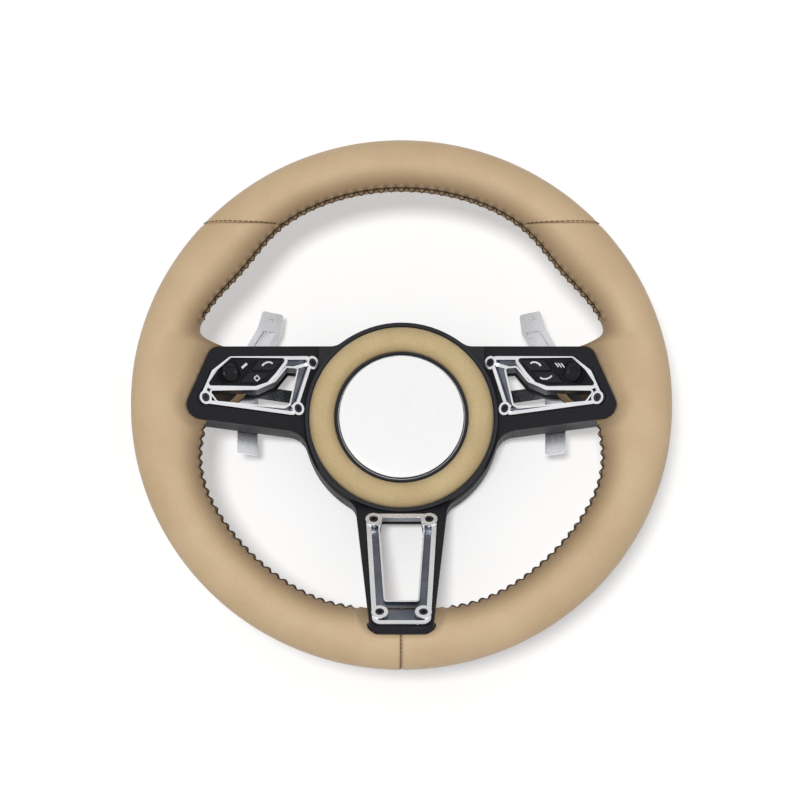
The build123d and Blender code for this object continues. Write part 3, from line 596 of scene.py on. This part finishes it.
def leather(name, node, limits, count, material):
    """One length of the grip's leather between two seams, its ends turned down into them."""
    turns = section_turns()
    points, shade_amounts = [], []
    for share in lengthwise(count):
        for turn in turns:
            radius = RIM_RADIUS + GRIP_WIDTH * cos(turn)
            start, end = limits(radius)
            angle = start + (end - start) * share
            to_end = radians(min(abs(angle - start), abs(angle - end))) * radius
            point, shade_amount = grip_point(angle, turn, END_SINK * exp(-to_end / END_SPREAD))
            points.append(point)
            # painted shade at the leather's ends, down in the cross seams
            shade_amounts.append(max(shade_amount, END_SHADE * exp(-to_end / END_SHADE_SPREAD)))
    rows, columns = len(points) // len(turns), len(turns)
    faces = grid_faces(rows, columns, True)
    piece = new_piece(name, points, faces, "root", material)
    # the painted shade reaches the material through this attribute
    attribute = piece.data.attributes.new("painted_shade", "FLOAT", "POINT")
    attribute.data.foreach_set("value", shade_amounts)
    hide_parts(node)


def surface_path(start, end, steps, lift):
    """Points over the leather from one (angle, turn) to another, arched clear of it."""
    path = []
    for i in range(steps + 1):
        t = i / steps
        angle = start[0] + (end[0] - start[0]) * t
        turn = start[1] + (end[1] - start[1]) * t
        (x, y, z), _ = grip_point(angle, turn, -lift * (0.25 + 0.75 * sin(pi * t)))
        path.append((x, y, z))
    return path


def gather(paths, radius, sides=6):
    points, faces = [], []
    for path in paths:
        more_points, more_faces = tube(path, radius, sides, len(points))
        points += more_points
        faces += more_faces
    return points, faces


def cross_stitching(material):
    """Two crossed threads for each step of the long inner seam, on both sides of the wheel."""
    half, middle = STITCH_HALF / GRIP_DEPTH, pi - SEAM_LEAN
    for side, sign in (("left", 1), ("right", -1)):
        paths = []
        for low, high in STITCH_ENDS:
            step = round(low / STITCH_STEP)
            while (step + 1) * STITCH_STEP < high:
                a, b = step * STITCH_STEP, (step + 1) * STITCH_STEP
                for start, end in ((a, b), (b, a)):
                    ends = (sign * start, middle - half), (sign * end, middle + half)
                    paths.append(surface_path(*ends, 6, 0.5))
                step += 1
        points, faces = gather(paths, THREAD)
        new_piece(f"{side}_cross_stitching", points, faces, "root", material)


def seam_stitching(material):
    """A row of short stitches beside each cross seam and down the seam at 6 o'clock."""
    front, back = radians(8), radians(150)
    pitch, filled = 0.135, 0.68   # radians of the section for a stitch, and the share that is thread
    for name, limit in (("left_seam_stitching", lambda r: seam_angle(r) - SEAM_OFFSET),
                        ("right_seam_stitching", lambda r: -seam_angle(r) + SEAM_OFFSET),
                        ("lower_seam_stitching", lambda r: 180 - LOWER_OFFSET)):
        paths, turn = [], front
        while turn + pitch < back:
            ends = []
            for at in (turn, turn + pitch * filled):
                radius = RIM_RADIUS + GRIP_WIDTH * cos(at)
                ends.append((limit(radius), at))
            paths.append(surface_path(ends[0], ends[1], 3, 0.16))
            turn += pitch
        points, faces = gather(paths, SEAM_THREAD, 5)
        new_piece(name, points, faces, "root", material)


def make_grip():
    hide, dark = tan_leather(), thread()
    leather("grip_leather_top", "rim_leather_top", lambda r: (-seam_angle(r), seam_angle(r)),
            TOP_ROWS, hide)
    leather("grip_leather_left", "rim_leather_left", lambda r: (seam_angle(r), 180.0), SIDE_ROWS, hide)
    leather("grip_leather_right", "rim_leather_right", lambda r: (-180.0, -seam_angle(r)), SIDE_ROWS, hide)
    cross_stitching(dark)
    seam_stitching(dark)


# ------------------------------------------------------------------ hub
PAD_WIDTH = 17.3
PAD_WALL = 1.2             # upright edge of the pad below its dome
RING_WALL = 1.1
KNURL_DEPTH = 0.22


def make_hub_pad(material):
    """Domed leather ring, fullest near its middle, rolled over at both edges."""
    (_, _, low_z), (high_x, _, high_z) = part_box("hub_ring")
    outer, base, crown = high_x / MM, low_z / MM, high_z / MM
    inner = outer - PAD_WIDTH
    profile = [(inner, base)]
    steps = 30
    for i in range(steps + 1):
        t = i / steps
        height = (1 - abs(2 * t - 1) ** 2.6) ** 0.62
        radius = inner + (outer - inner) * (t - 0.06 * sin(pi * t) ** 2)
        profile.append((radius, base + PAD_WALL + (crown - base - PAD_WALL) * height))
    profile.append((outer, base))
    points, faces = lathe(profile, 256)
    pad = new_piece("hub_pad", points, faces, "root", material)
    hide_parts("hub_ring")


def make_knurled_ring(material):
    """Thin metal ring in the gap round the cap, with a fine straight knurl."""
    (_, _, low_z), (high_x, _, high_z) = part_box("knurled_ring")
    outer, base, top = high_x / MM, low_z / MM, high_z / MM
    inner = outer - RING_WALL
    profile = [(outer, base + 2.5), (outer, top - 0.5), (outer - 0.4, top), (inner + 0.3, top),
               (inner, top - 0.3), (inner - 0.1, base + 2.5)]
    points, faces = lathe(profile, 720, lambda i, j: KNURL_DEPTH * (i % 4 < 2) if j > 2 else 0.0)
    ring = new_piece("knurled_trim_ring", points, faces, "root", material, shade=False)
    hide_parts("knurled_ring")


# ------------------------------------------------------------------ controls on the spokes
KNOB_PLACE = (116.2, 22.3)
KNOB_RADIUS, KNOB_TOP, KNOB_FOOT = 6.0, 4.5, -1.2
KNOB_RIB = 0.22
POD_RISE, BUTTON_RISE = 0.6, 1.4   # above the spoke's face
PRINT_RISE = 0.06


class Face:
    """Places points on a spoke's sloping face: plan x and y, and a height above the face."""

    def __init__(self, sign):
        self.sign = sign

    def at(self, x, y, height):
        return (self.sign * (x - height * SINE), y, face_z(x) + height * COSINE)


def plate_on(face, outline, low, high, chamfer):
    """Points and faces of a plate with a chamfered top, from plan corners that run either way."""
    area = sum(a[0] * b[1] - b[0] * a[1] for a, b in zip(outline, outline[1:] + outline[:1]))
    corners = outline if area < 0 else outline[::-1]
    rings = [(0.0, low), (0.0, high - chamfer), (chamfer, high)]
    points = []
    for inset, height in rings:
        ring = shrunk(corners, inset) if inset else corners
        points += [face.at(x, y, height) for x, y in ring]
    count = len(outline)
    faces = grid_faces(3, count, True)
    faces.append(tuple(range(2 * count, 3 * count)))
    faces.append(tuple(reversed(range(count))))
    if face.sign < 0:
        faces = [tuple(reversed(f)) for f in faces]
    return points, faces


def stroke(path, width):
    """A flat band of constant width along a plan path, as a closed outline."""
    left, right = [], []
    for i, (x, y) in enumerate(path):
        (ax, ay), (bx, by) = path[max(i - 1, 0)], path[min(i + 1, len(path) - 1)]
        along = Vector((bx - ax, by - ay)).normalized()
        left.append((x - along.y * width / 2, y + along.x * width / 2))
        right.append((x + along.y * width / 2, y - along.x * width / 2))
    return left + right[::-1]


def icon(name, face, outlines, body, level, material):
    """A printed mark, a hair proud of the plastic."""
    points, faces = [], []
    for outline in outlines:
        more, more_faces = plate_on(face, outline, level - 0.15, level + PRINT_RISE, 0.02)
        faces += [tuple(len(points) + k for k in f) for f in more_faces]
        points += more
    new_piece(name, points, faces, body, material, shade=False)


def turned_knob(side, face, material):
    """Ribbed knob with a six-sided dish and a rounded rim, standing on the pod."""
    x, y = KNOB_PLACE
    radius, top = KNOB_RADIUS, KNOB_TOP
    profile = [(radius, KNOB_FOOT), (radius, top - 1.3), (radius - 0.25, top - 0.5), (radius - 0.9, top),
               (radius - 1.6, top - 0.1), (radius - 2.3, top - 0.9), (radius - 2.7, top - 1.0),
               (0.4, top - 0.6)]
    steps = 96
    points = []
    for i in range(steps):
        turn = 2 * pi * i / steps
        rib = KNOB_RIB * (i % 4 < 2)
        hexagon = cos(pi / 6) / cos((turn % (pi / 3)) - pi / 6)
        for j, (r, h) in enumerate(profile):
            reach = r - rib if j < 2 else r
            reach = reach * (0.35 + 0.65 * hexagon) if j in (4, 5, 6) else reach
            u = x + reach * cos(turn) * COSINE
            points.append(face.at(u, y + reach * sin(turn), h))
    faces = []
    count = len(profile)
    for i in range(steps):
        a, b = i * count, ((i + 1) % steps) * count
        faces += [(a + j, b + j, b + j + 1, a + j + 1) for j in range(count - 1)]
    faces.append(tuple(i * count + count - 1 for i in range(steps)))
    faces.append(tuple(i * count for i in reversed(range(steps))))
    if face.sign < 0:
        faces = [tuple(reversed(f)) for f in faces]
    knob = new_piece(f"{side}_ribbed_knob", points, faces, f"{side}_knob", material)
    knob.modifiers.new("edges", "EDGE_SPLIT").split_angle = radians(38)
    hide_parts(f"{side}_knob")


def make_controls(knob_plastic, print_white):
    """Knobs and the white marks on the buttons; the marks are generic shapes."""
    for side, sign in (("left", -1), ("right", 1)):
        face = Face(sign)
        turned_knob(side, face, knob_plastic)
        capsule = stroke([(104.0, 30.9), (107.3, 27.3)], 1.5)
        dashes = [stroke([(103.4 + k * 1.9, 31.4 - k * 0.4), (105.6 + k * 1.9, 28.2 - k * 0.4)], 0.7)
                  for k in range(3)]
        marks = [capsule] if sign < 0 else dashes
        icon(f"{side}_pod_mark", face, marks, "root", POD_RISE, print_white)
        handset = stroke([(87.6, 33.3), (89.2, 34.0), (91.3, 33.6), (93.3, 32.2), (94.4, 30.6)], 1.1)
        icon(f"{side}_upper_mark", face, [handset], f"{side}_upper_button", BUTTON_RISE, print_white)
        corners = [(97.6, 23.6), (99.6, 21.6), (97.9, 19.6), (95.9, 21.6)]
        diamond = [stroke([a, b], 0.75) for a, b in zip(corners, corners[1:] + corners[:1])]
        bow = [stroke([(93.9, 22.7), (95.6, 21.4), (97.9, 21.0), (100.2, 21.6), (101.6, 22.8)], 1.0)]
        marks = diamond if sign < 0 else bow
        icon(f"{side}_lower_mark", face, marks, f"{side}_lower_button", BUTTON_RISE, print_white)


# ------------------------------------------------------------------ CAD nodes that stay
SAME_PLACE, SAME_PLANE, SHARP = 0.00001, radians(1.5), radians(32.0)


def soften(node, width, material):
    """Rounds a CAD node's edges with modifiers, its own mesh as it is, and gives it a material."""
    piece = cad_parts[node]
    weld = piece.modifiers.new("weld", "WELD")
    weld.merge_threshold = SAME_PLACE
    flat = piece.modifiers.new("flat", "DECIMATE")
    flat.decimate_type = "DISSOLVE"
    flat.angle_limit = SAME_PLANE
    flat.delimit = {"SHARP"}
    edge = piece.modifiers.new("edge", "BEVEL")
    edge.width = width * MM
    edge.segments = 3
    edge.limit_method = "ANGLE"
    edge.angle_limit = SHARP
    edge.use_clamp_overlap = True
    edge.harden_normals = True
    paint(node, material)


def paint(node, material):
    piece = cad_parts[node]
    if not piece.material_slots:
        piece.data.materials.append(material)
    for held in piece.material_slots:
        held.material = material


def dress_frame():
    """Materials and rounded edges for the CAD nodes that stay, and the pieces that replace the rest."""
    cover = moulded("black_cover", srgb(28, 28, 32), srgb(40, 40, 45), 1500.0, 0.5)
    soft_black = moulded("pod_plastic", srgb(20, 20, 23), srgb(30, 30, 34), 2200.0, 0.42)
    button_black = moulded("button_plastic", srgb(34, 34, 38), srgb(46, 46, 51), 2600.0, 0.5)
    rubber = moulded("grip_foam", srgb(30, 30, 30), srgb(42, 42, 42), 500.0, 0.85, 0.0003)
    white = moulded("white_cap", srgb(250, 250, 250), srgb(246, 246, 247), 1800.0, 0.3, 0.00002)
    parts = moulded("component_housings", srgb(24, 24, 26), srgb(52, 52, 56), 800.0, 0.5)
    alloy = satin_metal("cast_alloy", srgb(165, 167, 172), srgb(138, 140, 146), 0.45, 0.05)
    adapter = satin_metal("turned_alloy", srgb(92, 94, 99), srgb(72, 74, 79), 0.34, 0.08)
    steel = satin_metal("dark_steel", srgb(74, 75, 80), srgb(52, 53, 57), 0.3, 0.02)
    spring = satin_metal("spring_steel", srgb(180, 182, 186), srgb(150, 152, 156), 0.25, 0.02)
    paddle_alloy = satin_metal("paddle_alloy", srgb(248, 249, 252), srgb(232, 235, 240), 0.26, 0.03)
    board = circuit_mask()
    soften("front_cover", 1.3, cover)
    for node in ("rear_hub_cover", "rear_lower_cover", "left_rear_spoke_cover",
                 "right_rear_spoke_cover"):
        soften(node, 0.9, cover)
    soften("hub_ring_base", 0.4, cover)
    soften("lower_trim", 0.35, trim_metal("lower_trim_metal", 1))
    side_metal = trim_metal("side_trim_metal", 0)
    for side in ("left", "right"):
        soften(f"{side}_trim", 0.3, side_metal)
        soften(f"{side}_pod_housing", 0.2, soft_black)
        soften(f"{side}_upper_button", 0.35, button_black)
        soften(f"{side}_lower_button", 0.35, button_black)
        soften(f"{side}_trim_screws", 0.15, steel)
        soften(f"{side}_paddle_bracket", 0.3, cover)
        paint(f"{side}_rim_core", rubber)
        soften(f"{side}_paddle", 0.5, paddle_alloy)
        for name in ("encoder", "pod_switches", "paddle_switch"):
            soften(f"{side}_{name}", 0.15, parts)
        soften(f"{side}_pod_board", 0.1, board)
        paint(f"{side}_paddle_pin", spring)
        paint(f"{side}_paddle_spring", spring)
    for name, finish, width in (("armature", alloy, 0.5), ("hub_adapter", adapter, 0.6),
                                ("lower_trim_screws", steel, 0.15), ("rear_cover_screws", steel, 0.2),
                                ("adapter_bolts", steel, 0.2), ("connector", parts, 0.2),
                                ("horn_plate", parts, 0.3), ("horn_contact", parts, 0.2),
                                ("controller_board", board, 0.1), ("horn_cap", white, 0.4)):
        soften(name, width, finish)
    paint("horn_springs", spring)
    make_hub_pad(pad_leather())
    make_knurled_ring(spring)
    print_white = moulded("printed_marks", srgb(236, 236, 238), srgb(220, 220, 224), 3000.0, 0.5)
    knob_plastic = moulded("knob_plastic", srgb(22, 22, 25), srgb(38, 38, 42), 2400.0, 0.26)
    make_controls(knob_plastic, print_white)


make_camera()
make_world()
make_key()
make_floor()
make_grip()
dress_frame()
bpy.context.scene.view_settings.view_transform = "Standard"
